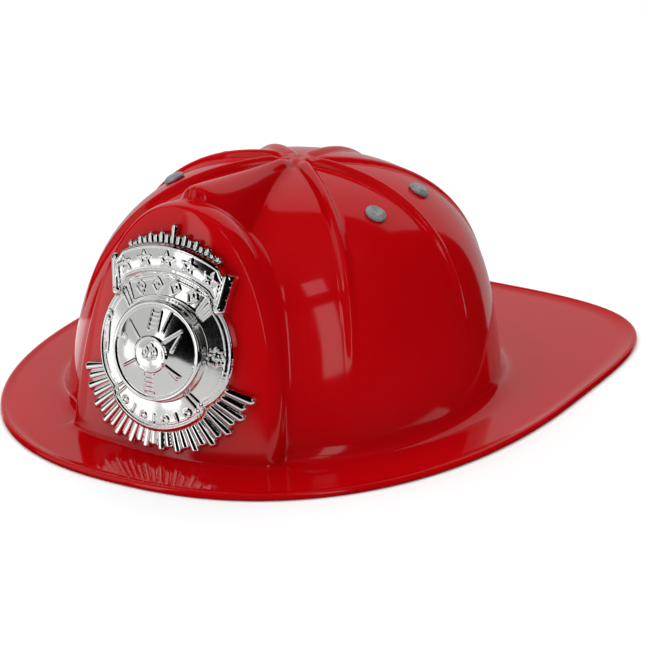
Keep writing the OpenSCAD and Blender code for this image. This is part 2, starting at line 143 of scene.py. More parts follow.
def rounded(corners, radius, steps=4):
    """A profile with its inner corners rounded off."""
    out = [corners[0]]
    for before, here, after in zip(corners, corners[1:], corners[2:]):
        b, h, a = (np.array(p, float) for p in (before, here, after))
        reach = min(radius, np.linalg.norm(b - h) * 0.45, np.linalg.norm(a - h) * 0.45)
        start, end = h + unit(b - h) * reach, h + unit(a - h) * reach
        for i in range(steps + 1):
            k = i / steps
            out.append(tuple((1 - k) ** 2 * start + 2 * k * (1 - k) * h + k * k * end))
    out.append(corners[-1])
    return out


def aim(points, origin, normal):
    """Turns local +z to the normal and moves to the origin."""
    n = unit(np.array(normal, float))
    side = unit(np.cross([0.0, 0.0, 1.0], n)) if abs(n[2]) < 0.9999 else np.array([1.0, 0.0, 0.0])
    up = np.cross(n, side)
    return points @ np.stack([side, up, n]) + origin


# ---- materials ----
def material(name, **values):
    """A node material and its shader."""
    mat = bpy.data.materials.new(name)
    mat.use_nodes = True
    shader = mat.node_tree.nodes["Principled BSDF"]
    for key, value in values.items():
        shader.inputs[key.replace("_", " ")].default_value = value
    return mat, shader


def node(mat, kind, **values):
    made = mat.node_tree.nodes.new(kind)
    for key, value in values.items():
        if key in made.inputs:
            made.inputs[key].default_value = value
        else:
            setattr(made, key, value)
    return made


def wire(mat, a, output, b, socket):
    mat.node_tree.links.new(a.outputs[output], b.inputs[socket])


def noise(mat, scale, detail=3.0, roughness=0.5):
    where = node(mat, "ShaderNodeTexCoord")
    made = node(mat, "ShaderNodeTexNoise", Scale=scale, Detail=detail, Roughness=roughness)
    wire(mat, where, "Object", made, "Vector")
    return made


def ramp(mat, source, stops, output="Fac"):
    made = node(mat, "ShaderNodeValToRGB")
    made.color_ramp.elements[0].position, made.color_ramp.elements[0].color = stops[0]
    made.color_ramp.elements[1].position, made.color_ramp.elements[1].color = stops[-1]
    for position, color in stops[1:-1]:
        made.color_ramp.elements.new(position).color = color
    wire(mat, source, output, made, "Fac")
    return made


def vary(mat, shader, socket, source, stops, output="Fac"):
    """Drives a shader's socket by a ramp over a pattern."""
    wire(mat, ramp(mat, source, stops, output), "Color", shader, socket)


def grey(v):
    return (v, v, v, 1)


def bump(mat, shader, source, output, strength, distance):
    made = node(mat, "ShaderNodeBump", Strength=strength, Distance=distance)
    wire(mat, source, output, made, "Height")
    wire(mat, made, "Normal", shader, "Normal")


def red_gloss():
    mat, shader = material("red_gloss", IOR=1.43)
    cloud = noise(mat, 14, 4)
    vary(mat, shader, "Base Color", cloud, [(0.3, (0.385, 0.0007, 0.0021, 1)),
                                            (0.7, (0.435, 0.0011, 0.0032, 1))])
    haze = noise(mat, 60, 5, 0.6)
    vary(mat, shader, "Roughness", haze, [(0.3, grey(0.07)), (0.75, grey(0.12))])
    bump(mat, shader, noise(mat, 32, 2), "Fac", 0.12, 0.0006)
    return mat


def chrome():
    mat, shader = material("chrome", Metallic=1.0)
    cloud = noise(mat, 25, 2)
    vary(mat, shader, "Base Color", cloud, [(0.3, (0.78, 0.78, 0.77, 1)), (0.7, (0.86, 0.86, 0.85, 1))])
    haze = noise(mat, 180, 4, 0.6)
    vary(mat, shader, "Roughness", haze, [(0.35, grey(0.10)), (0.8, grey(0.16))])
    bump(mat, shader, noise(mat, 90, 2), "Fac", 0.06, 0.0003)
    return mat


def rivet_metal():
    mat, shader = material("rivet_grey", Metallic=0.4)
    cloud = noise(mat, 420, 5, 0.7)
    vary(mat, shader, "Base Color", cloud, [(0.3, (0.15, 0.165, 0.17, 1)), (0.52, (0.3, 0.32, 0.33, 1)),
                                            (0.75, (0.48, 0.5, 0.51, 1))])
    vary(mat, shader, "Roughness", cloud, [(0.3, grey(0.55)), (0.7, grey(0.32))])
    bump(mat, shader, cloud, "Fac", 0.35, 0.0002)
    return mat


def satin_steel():
    mat, shader = material("satin_steel", Metallic=0.9)
    cloud = noise(mat, 260, 4, 0.6)
    vary(mat, shader, "Base Color", cloud, [(0.3, (0.42, 0.42, 0.41, 1)), (0.7, (0.6, 0.6, 0.58, 1))])
    vary(mat, shader, "Roughness", cloud, [(0.3, grey(0.4)), (0.7, grey(0.26))])
    bump(mat, shader, cloud, "Fac", 0.15, 0.0001)
    return mat


def liner_plastic(name, dark, light):
    mat, shader = material(name, IOR=1.49)
    cloud = noise(mat, 70, 4, 0.6)
    vary(mat, shader, "Base Color", cloud, [(0.3, dark), (0.7, light)])
    fine = noise(mat, 900, 3, 0.6)
    vary(mat, shader, "Roughness", fine, [(0.3, grey(0.38)), (0.7, grey(0.52))])
    bump(mat, shader, fine, "Fac", 0.2, 0.0001)
    return mat


def foam():
    mat, shader = material("pad_foam", Roughness=0.9, Sheen_Weight=0.25, Sheen_Roughness=0.5)
    where = node(mat, "ShaderNodeTexCoord")
    cells = node(mat, "ShaderNodeTexVoronoi", Scale=1300.0)
    wire(mat, where, "Object", cells, "Vector")
    vary(mat, shader, "Base Color", cells, [(0.1, (0.016, 0.016, 0.018, 1)),
                                            (0.6, (0.05, 0.05, 0.054, 1))], "Distance")
    bump(mat, shader, cells, "Distance", 0.6, 0.0004)
    return mat


MATERIALS = {
    "red_shell": red_gloss(),
    "chrome_badge": chrome(),
    "grey_rivet": rivet_metal(),
    "steel_fastener": satin_steel(),
    "white_liner": liner_plastic("white_liner", (0.66, 0.65, 0.61, 1), (0.78, 0.77, 0.73, 1)),
    "grey_stud": liner_plastic("grey_stud", (0.30, 0.30, 0.30, 1), (0.40, 0.40, 0.39, 1)),
    "pad_foam": foam(),
}


# ---- the crown's surface about its own axis; turn 0 is the front, and inset goes into the wall ----
def square_r(half_w, half_l, power, turn):
    across, along = np.abs(np.sin(turn)) / half_w, np.abs(np.cos(turn)) / half_l
    return (across ** power + along ** power) ** (-1 / power)


def dome(turn, down, inset=0.0):
    """A point of the bare dome, from the apex at down 0 to the foot at a quarter turn."""
    rise = np.maximum(np.cos(down), 0) ** (2 / CROWN_RISE_POWER)
    reach = np.where(np.cos(turn) > 0, CROWN_FRONT, CROWN_REAR) - inset
    r = square_r(CROWN_HALF_W - inset, reach, CROWN_PLAN_POWER, turn)
    r = r * np.sin(down) ** (2 / CROWN_SIDE_POWER) * (1 - CROWN_TAPER * rise)
    y = APEX_BACK * rise ** 2 - r * np.cos(turn)
    return np.stack([r * np.sin(turn), y, (CROWN_H - inset) * rise], -1)


def dome_normal(turn, down):
    step = math.radians(0.5)
    return unit(np.cross(dome(turn, down + step) - dome(turn, down - step),
                         dome(turn + step, down) - dome(turn - step, down)))


def ribs(turn, down, r):
    """A bead at every rib turn, with a round start at the apex ring, thinning down the wall."""
    pitch = math.radians(RIB_TURN)
    off = (turn + pitch / 2) % pitch - pitch / 2
    fade = np.maximum(np.cos(down), 0)
    across = r * np.sin(off) / (RIB_HALF_W * (0.5 + 0.5 * fade))
    start = 1 - np.exp(-(r / RIB_START_R) ** 4)
    round_top = np.maximum(soft_max(1 - across ** 2, -0.4, 0.25), 0)
    high = RIB_H - RIB_REAR_DROP * smooth01(-1.4 * np.cos(turn))
    return high * fade ** 0.7 * smooth01((fade - 0.03) / 0.3) * start * round_top


def hub(r):
    """The low ring with a dimple that the ribs run into."""
    ring_r, ring_h, middle_h = 4.4, 2.6, 1.4
    return ring_h * np.exp(-((r - ring_r) / 1.7) ** 2) + middle_h * np.exp(-(r / 3.4) ** 4)


def keel(d, inset):
    """Ridge over the front that climbs from the apex ring to a boss with grooves down its nose."""
    top = (KEEL_TOP - 1.5 * inset) / np.maximum(0.2, d[..., 2] + KEEL_SLOPE * d[..., 1])
    reach = KEEL_REACH - 1.5 * inset
    forward = np.maximum(0.05, -d[..., 1])
    x = d[..., 0] * reach / forward
    groove = 0.0
    if not inset:
        groove = BOSS_GROOVE * np.cos(math.pi * x / 3.2) ** 8 * smooth01((6.6 - np.abs(x)) / 1.2)
    r = soft_min(top, (reach - groove) / forward, 5)
    width = KEEL_W + (BOSS_W - KEEL_W) * smooth01(-d[..., 1] * r / 75) - 0.6 * inset
    return r - (d[..., 0] * r) ** 2 / (1.2 * width) - 0.15 * np.maximum(0, 12 + d[..., 1] * r) ** 2


def plinth(d, inset):
    """A leaning cylinder cut to an arch, with drafted sides, a rounded ridge and a slope behind it."""
    leaning = np.stack([d[..., 0], d[..., 1] - LEAN_SLOPE * d[..., 2]], -1)
    r = (PLINTH_R - inset) / np.linalg.norm(leaning, axis=-1)
    across = np.abs(r * d[..., 0]) / (PLINTH_HALF_W - inset)
    up = np.maximum(0, r * d[..., 2]) / (PLINTH_H - inset)
    out = (across ** PLINTH_POWER + up ** PLINTH_POWER) ** (1 / PLINTH_POWER)
    rise = np.minimum(1.3, r * d[..., 2] / PLINTH_H)
    draft = 0.28 + 0.5 * np.maximum(rise, 0) ** 1.7
    ridge = 1.085 + 0.03 * rise ** 4
    side = 1 - draft * (out - 1)
    back = 1 - draft * (ridge - 1) - (1.3 + 0.3 * rise * rise) * (out - ridge)
    crisp = 0.007 + 0.02 * inset
    push = soft_min(soft_min(1 + 0 * side, side, crisp), back, 0.022 + 0.02 * inset)
    return np.where(d[..., 1] > -0.15, 0, r * np.maximum(0, push))


def shell_point(turn, down, inset=0.0):
    """A point on the outside of the crown, or on its inside where there is an inset."""
    p = dome(turn, down, inset)
    r = np.linalg.norm(p, axis=-1)
    d = p / r[..., None]
    grown = r
    if not inset:
        axis = np.array([0, APEX_BACK]) * (p[..., 2:3] / CROWN_H) ** 2
        from_axis = np.linalg.norm(p[..., :2] - axis, axis=-1)
        grown = r + ribs(turn, down, from_axis) + hub(from_axis)
    keel_blend, plinth_blend = 3.5, 3
    blended = soft_max(grown, keel(d, inset), keel_blend)
    return d * soft_max(blended, plinth(d, inset), plinth_blend)[..., None]


# ---- the brim ----
BRIM_HALF_W = 125.5
BRIM_HALF_L = 157.0
BRIM_WIDEST_Y = 27.0                    # from the frame's origin
BRIM_FRONT_POWER = 2.3
BRIM_REAR_POWER = 4.3
BEAD_R = 1.6
BEAD_FLAT = 0.1                         # what the bead's foot is cut off by
BEAD_Z = BEAD_R - BEAD_FLAT - CROWN[2]
FILLET = 7.0
JOIN = math.pi - math.asin(WALL / 2 / BEAD_R)
FILLET_DOWN = math.acos((FILLET / CROWN_H) ** (CROWN_RISE_POWER / 2))


def rim(turn):
    """The middle of the rolled rim, about the brim's widest place and drawn forward to face the crown."""
    t = turn - math.radians(20) * np.sin(turn)
    half_w = BRIM_HALF_W - BEAD_R
    front = square_r(half_w, BRIM_HALF_L + BRIM_WIDEST_Y - BEAD_R, BRIM_FRONT_POWER, t)
    rear = square_r(half_w, BRIM_HALF_L - BRIM_WIDEST_Y - BEAD_R, BRIM_REAR_POWER, t)
    r = np.where(np.cos(t) > 0, front, rear)
    return np.stack([r * np.sin(t), BRIM_WIDEST_Y - CROWN[1] - r * np.cos(t), 0 * t + BEAD_Z], -1)


def bead(turn, angle):
    """A point round the rolled rim's section, from outward at angle 0."""
    little = math.radians(1)
    along = unit(rim(turn + little) - rim(turn - little))
    out = np.stack([along[..., 1], -along[..., 0], 0 * turn], -1)
    lift = max(BEAD_R * math.sin(angle), BEAD_FLAT - BEAD_R)
    return rim(turn) + out * BEAD_R * math.cos(angle) + np.array([0, 0, lift])


def flange(turn, inset, rounds, flats):
    """Rings from the crown's foot over the fillet, tighter at the front, and out to the rim's bead."""
    top = shell_point(turn, 0 * turn + FILLET_DOWN, inset)
    corner = shell_point(turn, 0 * turn + math.pi / 2, inset) - np.array([0, 0, inset])
    edge = bead(turn, -JOIN if inset else JOIN)
    foot = corner + (FILLET + inset) * unit(edge - corner)
    tighter = 0.7 * smooth01((np.cos(turn) - 0.80) / 0.14)[:, None]
    rings = []
    for i in range(1, rounds + 1):
        k = i / rounds
        curve = (1 - k) ** 2 * top + 2 * k * (1 - k) * corner + k * k * foot
        rings.append(curve + (corner - curve) * tighter * 4 * k * (1 - k))
    for i in range(1, flats):
        rings.append(foot + (edge - foot) * i / flats)
    return rings


def turn_list(fine, coarse):
    """Turns crowded over the plinth and at each rib."""
    beside = 3
    front = np.arange(fine - PLINTH_TURN, PLINTH_TURN - fine / 2, fine)
    near = np.arange(-beside, beside + 0.01, 2 * fine)
    gap = RIB_TURN - 2 * beside
    between = np.linspace(beside, beside + gap, int(gap / coarse) + 1)[1:-1]
    turns = front.tolist()
    for rib in range(1, 8):
        turns += (RIB_TURN * rib + near).tolist()
        if rib < 7:
            turns += (RIB_TURN * rib + between).tolist()
    return np.radians(np.array(sorted(turns)))


def crown_rings(turns, count, inset):
    """Rings from the apex down to the fillet, closest together near the foot."""
    end = 1 - math.sqrt(1 - FILLET_DOWN / (math.pi / 2))
    k = np.arange(1, count + 1) / count
    downs = (math.pi / 2) * (1 - (1 - k * end) ** 2)
    return [shell_point(turns, 0 * turns + down, inset) for down in downs]


def build_shell():
    """Rings from the apex over the outside, round the rim and back under to the apex's inside."""
    turns = turn_list(0.4, 1.6)
    outer = crown_rings(turns, 140, 0.0) + flange(turns, 0.0, 8, 8)
    beads = [bead(turns, angle) for angle in np.linspace(JOIN, -JOIN, 15)]
    under = flange(turns, WALL, 6, 6)[::-1]
    inner = crown_rings(turns, 36, WALL)[::-1]
    grid = np.stack(outer + beads + under + inner[1:])
    apex_out = APEX + [0, 0, hub(0.0)]
    apex_in = APEX - [0, 0, WALL]
    points = np.concatenate([[apex_out], grid.reshape(-1, 3), [apex_in]])
    piece = place("shell_moulding", points, spindle_faces(*grid.shape[:2]), "red_shell")
    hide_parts("shell")


build_shell()


# ---- badge: a relief over (x, z) on the leaning face ----
BADGE_R = 117.0
BADGE_GAP = 0.6                          # from the plinth's face to the badge's back
BADGE_Y = BADGE_R - FACE_R - BADGE_GAP
BADGE_LIFT = 0.7
CENTRE_Z = 20.0                          # common centre of the fans, the ribbon and the banner
PLATE_H = 1.7
RAY_FOOT_H = 1.5
UPPER_RAY_H = 0.9
LOWER_RAY_H = 1.4
SHIELD_H = 3.4
RIBBON_H = 5.2
SCROLL_H = 4.0
SCROLL_R = 2.3
MEDAL_Z = 24.4
MEDAL_R = 21.5
MEDAL_H = 8.6
DOME_R = 19.2
DOME_H = 3.6
BUTTON = (25.4, 25.5)
STUD_R = 1.5
STUD_L = 9.4
STUD_END = 105.0                         # from the crown's axis to the studs' inner ends
STUD_PLACES = ((0.0, 60.0), (-24.0, 14.0), (24.0, 14.0))


def on_face(x, z, h):
    """Crown-frame points at height h over the badge's curved back."""
    y = BADGE_Y - np.sqrt(np.maximum((BADGE_R + h) ** 2 - x ** 2, 0))
    up = z + BADGE_LIFT
    c, s = math.cos(LEAN), math.sin(LEAN)
    return np.stack([x, y * c + up * s, -y * s + up * c], -1)


def to_segment(x, z, a, b):
    ax, az = a
    bx, bz = b
    length = max((bx - ax) ** 2 + (bz - az) ** 2, 1e-9)
    k = np.clip(((x - ax) * (bx - ax) + (z - az) * (bz - az)) / length, 0, 1)
    return np.hypot(x - ax - k * (bx - ax), z - az - k * (bz - az))


def to_polygon(x, z, corners):
    """Signed distance to a closed polygon, negative inside."""
    near = np.full(x.shape, 1e9)
    inside = np.zeros(x.shape, bool)
    for (ax, az), (bx, bz) in zip(corners, corners[1:] + corners[:1]):
        near = np.minimum(near, to_segment(x, z, (ax, az), (bx, bz)))
        crosses = (az > z) != (bz > z)
        at = ax + (z - az) * (bx - ax) / (bz - az if bz != az else 1e-9)
        inside ^= crosses & (x < at)
    return np.where(inside, -near, near)


def polar(r, degrees):
    a = math.radians(degrees)
    return (r * math.cos(a), CENTRE_Z + r * math.sin(a))


def arc(r, first, last, count):
    return [polar(r, first + (last - first) * i / count) for i in range(count + 1)]


def plateau(distance, height, soft=0.45):
    """A raised area with softly rounded edges, from a signed distance."""
    return height * smooth01(0.5 - distance / soft)


def line(distance, width, height):
    """A raised round line."""
    return height * np.sqrt(np.clip(1 - (distance / width) ** 2, 0, 1))


def star(cx, cz, size, tilt):
    """Corners of a five-pointed star."""
    corners = []
    for i in range(10):
        r = size if i % 2 == 0 else size * 0.42
        a = math.radians(36 * i) + tilt
        corners.append((cx + r * math.sin(a), cz + r * math.cos(a)))
    return corners


def shield_corners():
    """Top corners under the ribbon, bulging sides, points at the lower corners and a rounded foot."""
    p, q, r, t = (np.array(v) for v in ((24.4, 45.6), (33.5, 37.0), (37.0, 13.0), (23.2, 4.0)))
    sides = [(1 - k) ** 3 * p + 3 * k * (1 - k) ** 2 * q + 3 * k * k * (1 - k) * r + k ** 3 * t
             for k in np.linspace(0, 1, 22)]
    half = [(0.0, 59.0), (22.0, 52.5)] + [tuple(v) for v in sides] + arc(30.0, -44, -90, 16)
    return half + [(-x, z) for x, z in reversed(half)]


def ribbon_corners():
    top = arc(48.6, 61, 119, 24)
    bottom = arc(37.6, 122, 58, 24)
    return top + [(-26.4, 57.6), (-24.4, 45.4)] + bottom + [(24.4, 45.4), (26.4, 57.6)]


def fan_relief(x, z, first, last, tips, root, lift):
    """Round bars side by side, one for each tip radius: their height, their outline and the plate's."""
    r = np.hypot(x, z - CENTRE_Z)
    a = np.degrees(np.arctan2(z - CENTRE_Z, x))
    count = len(tips)
    pitch = (last - first) / count
    index = np.clip(np.floor((a - first) / pitch), 0, count - 1).astype(int)
    tip = np.array(tips)[index]
    across = np.radians(a - first - (index + 0.5) * pitch) * r
    half = 0.41 * math.radians(pitch) * np.maximum(r, root)
    edge = np.abs(across) - half
    distance = np.where(r > tip - half, np.hypot(np.maximum(r - tip + half, 0), across) - half, edge)
    crest = np.sqrt(np.clip(1 - (across / (half * 1.12)) ** 2, 0, 1))
    bar = lift * crest * smooth01((tip - r) / (1.1 * half) + 0.3)
    past_end = np.maximum(first - a, a - last) * math.radians(1) * r
    plate = np.maximum(r - (tip - 0.85 * half), past_end)
    return bar, np.maximum(distance, root - r), np.maximum(plate, root - r)


UPPER_TIPS = [57.6 if i == 8 else (54.3 if i % 2 == 0 else 53.2) - 0.036 * (i - 8) ** 2 for i in range(17)]
LOWER_TIPS = [(43.4 if i % 2 == 0 else 41.6) - 4.4 * math.exp(-((i - 13) / 4.9) ** 2) for i in range(27)]


def stars(x, z):
    """Five outlined stars along the ribbon."""
    outlines = []
    for i in range(5):
        lean = (2 - i) * 14.5
        cx, cz = polar(43.0, 90 + lean)
        outlines.append(line(to_polygon(x, z, star(cx, cz, 3.4, math.radians(-lean))), 0.5, 0.5))
    return sum(outlines)


def lozenge_panel(x, z, r):
    """The arched panel under the ribbon, with four lozenges that have a bead each."""
    panel = to_polygon(x, z, arc(36.4, 57, 123, 20) + arc(27.2, 124, 56, 20))
    h = np.where(r < 37.4, line(panel, 0.5, 0.6), 0)
    half_h, half_w = 3.3, 2.3
    for i in range(4):
        lean = (1.5 - i) * 15.5
        cx, cz = polar(31.8, 90 + lean)
        ux, uz = math.sin(math.radians(-lean)), math.cos(math.radians(-lean))
        corners = [(cx + along * ux + across * uz, cz + along * uz - across * ux)
                   for along, across in ((half_h, 0), (0, half_w), (-half_h, 0), (0, -half_w))]
        h += line(to_polygon(x, z, corners), 0.45, 0.5)
        h += plateau(np.hypot(x - cx, z - cz) - 0.8, 0.5)
    return h


def corner_bars(x, z):
    """Radial bars beside the panel and at the shield's lower corners, on both sides."""
    across = np.abs(x)
    upper = [line(to_segment(across, z, polar(27, a), polar(34.5, a)), 0.5, 0.6) for a in (52.5, 48.5)]
    lower = [line(to_segment(across, z, polar(17, a), polar(29, a)), 0.45, 0.5) for a in (-37, -43)]
    return sum(upper + lower)


def banner(x, z, r):
    """A line and a row of beads and bars round the shield's foot."""
    h = np.where((z < CENTRE_Z - 12) & (np.abs(x) < 20), line(r - 28.6, 0.45, 0.5), 0)
    for i in range(7):
        a = -90 + (i - 3) * 12.5
        if i % 2 == 0:
            cx, cz = polar(25.2, a)
            h += line(np.hypot(x - cx, z - cz) - 1.35, 0.45, 0.55)
        else:
            h += line(to_segment(x, z, polar(23.4, a), polar(27.0, a)), 0.6, 0.55)
    return h


def side_marks(x, z):
    """A torch-like bar at the left and a scalloped button at the right."""
    h = line(to_segment(x, z, (-27.6, 18.5), (-28.2, 33.5)), 0.75, 0.6)
    h += line(np.hypot(x + 28.0, (z - 34.2) / 1.5) - 1.1, 0.5, 0.5)
    across, up = x - BUTTON[0], z - BUTTON[1]
    r = np.hypot(across, up)
    h += line(r - 3.2 - 0.35 * np.cos(8 * np.arctan2(up, across)), 0.5, 0.6)
    return h + plateau(r - 1.2, 0.6)


def tools_relief(x, z):
    """Ladders above and below, poles at the diagonals, hand tools and a flame on the small disc."""
    ax, az = np.abs(x), np.abs(z)
    marks = [line(to_segment(ax, az, (2.4, 9.3), (2.1, 17.2)), 0.42, 0.55)]
    for rung in (10.6, 12.6, 14.6, 16.4):
        marks.append(line(to_segment(x, az, (-2.3, rung), (2.3, rung)), 0.36, 0.45))
    for way, run in ((1, 0.72), (-1, 0.78)):
        rise = way * (1 - run) * 2.2
        marks.append(line(to_segment(ax, z, (8.4 * run, 8.4 * rise), (17.5 * run, 17.5 * rise)), 0.5, 0.6))
    axe = [(-14.6, 5.6), (-16.8, 3.0), (-14.0, 0.6), (-12.6, 3.4)]
    marks.append(line(to_polygon(x, z, axe), 0.42, 0.55))
    marks.append(line(to_segment(x, z, (4.6, 9.4), (6.6, 17.4)), 0.5, 0.6))
    marks.append(line(to_segment(x, z, (12.4, 8.6), (9.6, 1.8)), 0.45, 0.5))
    marks.append(line(to_segment(x, z, (12.4, -9.4), (9.4, -6.4)), 0.9, 0.5))
    for lean, size in ((0.0, 4.6), (-0.5, 3.2), (0.5, 3.2)):
        flame = np.hypot((x - 4.4 * math.sin(lean)) * 1.7, z + 1.2 - 0.35 * size)
        marks.append(line(flame - size * 0.72, 0.42, 0.5))
    return np.maximum.reduce(marks)


def medallion(x, z):
    """Height of the ring, the dome inside it, the small disc and the tools, and how far they take over."""
    r = np.hypot(x, z - MEDAL_Z)
    h = MEDAL_H + DOME_H * (1 - np.clip(r / DOME_R, 0, 1) ** 2) + line(r - 20.3, 1.15, 0.9)
    disc = np.hypot(x, z - MEDAL_Z + 1.0)
    h += plateau(disc - 7.6, 0.5) + line(disc - 7.4, 0.5, 0.4)
    return h + tools_relief(x, z - MEDAL_Z), plateau(r - MEDAL_R, 1.0, 1.1)


def badge_relief(x, z):
    """Height over the back and signed distance to the outline."""
    r = np.hypot(x, z - CENTRE_Z)
    across = np.abs(x)
    shield = to_polygon(x, z, shield_corners())
    ribbon = to_polygon(x, z, ribbon_corners())
    scroll = to_segment(across, z, (27.3, 58.6), (25.0, 45.6))
    bar_up, rays_up, plate_up = fan_relief(x, z, 63.2, 116.8, UPPER_TIPS, 40, UPPER_RAY_H)
    bar_low, rays_low, plate_low = fan_relief(x, z, -167.0, -13.0, LOWER_TIPS, 22, LOWER_RAY_H)
    rays = np.minimum(rays_up, rays_low)
    outline = np.minimum.reduce([plate_up, plate_low, rays, shield, ribbon, scroll - SCROLL_R])

    bars = np.where(rays < 0.3, np.where(z > 40, bar_up, bar_low), 0)
    h = np.maximum(PLATE_H, RAY_FOOT_H + bars)
    # shield with a double raised border
    face = SHIELD_H + 0.9 * smooth01(-shield / 14)
    h = np.maximum(h, plateau(shield - 0.4, 1.0) * face)
    h += np.where(shield < 0, line(shield + 0.75, 0.62, 0.75) + line(shield + 2.9, 0.42, 0.45), 0)
    # ribbon, bellied, with a thin border
    belly = RIBBON_H + 0.9 * (1 - ((r - 43.2) / 6) ** 2) - 0.35 * (across / 27) ** 2
    on_ribbon = plateau(ribbon - 0.4, 1.0)
    h = h * (1 - on_ribbon) + np.maximum(h, belly) * on_ribbon
    h += np.where(ribbon < 0, line(ribbon + 0.6, 0.5, 0.45), 0)
    h += stars(x, z)
    # rolled scroll ends
    roll = SCROLL_H + np.sqrt(SCROLL_R ** 2 - np.minimum(scroll, SCROLL_R - 0.1) ** 2)
    h = np.maximum(h, np.where(scroll < SCROLL_R + 0.3, roll, 0))
    h += line(to_segment(across, z, (24.6, 57.2), (22.9, 46.4)), 0.5, 0.6)
    h += line(np.hypot(across - 24.6, z - 45.2) - 1.2, 0.5, 0.4)
    h += lozenge_panel(x, z, r) + corner_bars(x, z) + banner(x, z, r) + side_marks(x, z)

    medal, on_medal = medallion(x, z)
    return h * (1 - on_medal) + medal * on_medal, outline


def relief_mesh(relief, x_range, z_range, pitch):
    """A closed relief: front inside the outline, with its rim drawn to the outline, side wall and back."""
    xs = np.arange(x_range[0], x_range[1] + pitch / 2, pitch)
    zs = np.arange(z_range[0], z_range[1] + pitch / 2, pitch)
    x, z = np.meshgrid(xs, zs, indexing="xy")
    small = pitch * 0.2
    for _ in range(2):
        distance = relief(x, z)[1]
        gx = (relief(x + small, z)[1] - relief(x - small, z)[1]) / (2 * small)
        gz = (relief(x, z + small)[1] - relief(x, z - small)[1]) / (2 * small)
        size = np.maximum(np.hypot(gx, gz), 0.3)
        near = np.abs(distance) < pitch * 0.62
        x = np.where(near, x - distance * gx / size ** 2, x)
        z = np.where(near, z - distance * gz / size ** 2, z)
    h, distance = relief(x, z)
    quads = grid_faces(*x.shape)
    inside = (distance < pitch * 0.12).reshape(-1)[quads]
    faces = quads[inside.all(1)].tolist()
    for quad, kept in zip(quads, inside):
        if kept.sum() == 3:
            faces.append(quad[kept].tolist())
    used = np.unique(np.concatenate(faces))
    index = np.full(x.size, -1)
    index[used] = np.arange(len(used))
    x, z, h = (v.reshape(-1)[used] for v in (x, z, h))
    faces = [index[f].tolist() for f in faces]
    edges = dict.fromkeys((a, b) for f in faces for a, b in zip(f, f[1:] + f[:1]))
    border = [(a, b) for a, b in edges if (b, a) not in edges]
    count = len(x)
    points = np.concatenate([on_face(x, z, h), on_face(x, z, 0 * h)])
    walls = [[b, a, a + count, b + count] for a, b in border]
    return points, faces + [[v + count for v in reversed(f)] for f in faces] + walls


def build_badge():
    points, faces = relief_mesh(badge_relief, (-46, 46), (-25, 80), 0.33)
    piece = place("badge_plate", points, [f[::-1] for f in faces], "chrome_badge")
    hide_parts("badge")
    back = len(points) // 2
    for polygon in piece.data.polygons:             # the side wall meets front and back at a sharp edge
        polygon.use_smooth = max(polygon.vertices) < back or min(polygon.vertices) >= back
    profile = rounded([(0, 0), (STUD_R, 0), (STUD_R, STUD_L), (0, STUD_L)], 0.5)
    inward = np.array([0, math.cos(LEAN), -math.sin(LEAN)])
    for i, (x, z) in enumerate(STUD_PLACES):
        rod, rod_faces = lathe(profile, 24)
        rod[:, 2] *= (math.sqrt(BADGE_R ** 2 - x ** 2) - BADGE_Y - STUD_END) / STUD_L
        start = on_face(np.array(x), np.array(z), np.array(0.5))
        place(f"badge_stud_{i + 1}", aim(rod, start, inward), rod_faces, "chrome_badge")


build_badge()


# ---- rivets and their caps ----
RIVETS = {"front_right": 67.5, "rear_right": 112.5, "rear_left": 247.5, "front_left": 292.5}
RIVET_DOWN = 38
RIVET_R = 4.8
SHANK_R = 2.0
SHANK_L = 6.8
SEAT_GAP = 1.6                           # from the wall's inside to the straps
STRAP_T = 1.2
CAP_GAP = 0.1
CAP_DEPTH = WALL + SEAT_GAP + STRAP_T + CAP_GAP


def rivet_profile():
    """A shank and a mushroom head with a stepped, dished top."""
    foot = [(0, -SHANK_L), (SHANK_R - 0.3, -SHANK_L), (SHANK_R, -SHANK_L + 0.3), (SHANK_R, 0.1)]
    skirt = [(RIVET_R - 0.3, 0.1), (RIVET_R, 0.45), (RIVET_R, 1.15), (RIVET_R - 0.25, 1.6)]
    top = [(RIVET_R - 0.75, 1.95), (RIVET_R - 1.1, 2.0), (RIVET_R - 1.3, 2.3), (RIVET_R - 2.0, 2.62)]
    return foot + skirt + top + [(RIVET_R - 2.9, 2.5), (1.0, 2.35), (0, 2.3)]


def build_rivets():
    washer = [(0, -1.45), (2.6, -1.4), (3.9, -1.05), (4.5, -0.5),
              (4.5, -0.15), (4.3, 0.0), (2.2, 0.0), (0, 0.0)]
    down = np.array(math.radians(RIVET_DOWN))
    for name, degrees in RIVETS.items():
        turn = np.array(math.radians(degrees))
        seat, normal = dome(turn, down), dome_normal(turn, down)
        points, faces = lathe(rounded(rivet_profile(), 0.18, 3), 64)
        piece = place(f"rivet_{name}_head", aim(points, seat, normal), faces, "grey_rivet")
        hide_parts(f"rivet_{name}")
        points, faces = lathe(rounded(washer, 0.15, 3), 48)
        inside = seat - normal * CAP_DEPTH
        piece = place(f"rivet_{name}_washer", aim(points, inside, normal), faces, "steel_fastener")
        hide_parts(f"rivet_cap_{name}")


build_rivets()


# ---- pieces that keep their CAD shape ----
CAD_SLOTS = {
    "badge_push_nuts": "steel_fastener",
    "crown_strap_front": "white_liner",
    "crown_strap_rear": "white_liner",
    "crown_stud": "white_liner",
    "headband": "white_liner",
    "nape_strap": "white_liner",
    "adjuster_stud_right": "grey_stud",
    "adjuster_stud_left": "grey_stud",
}

for name, slot in CAD_SLOTS.items():
    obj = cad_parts[name]
    obj.data.materials.clear()
    obj.data.materials.append(MATERIALS[slot])


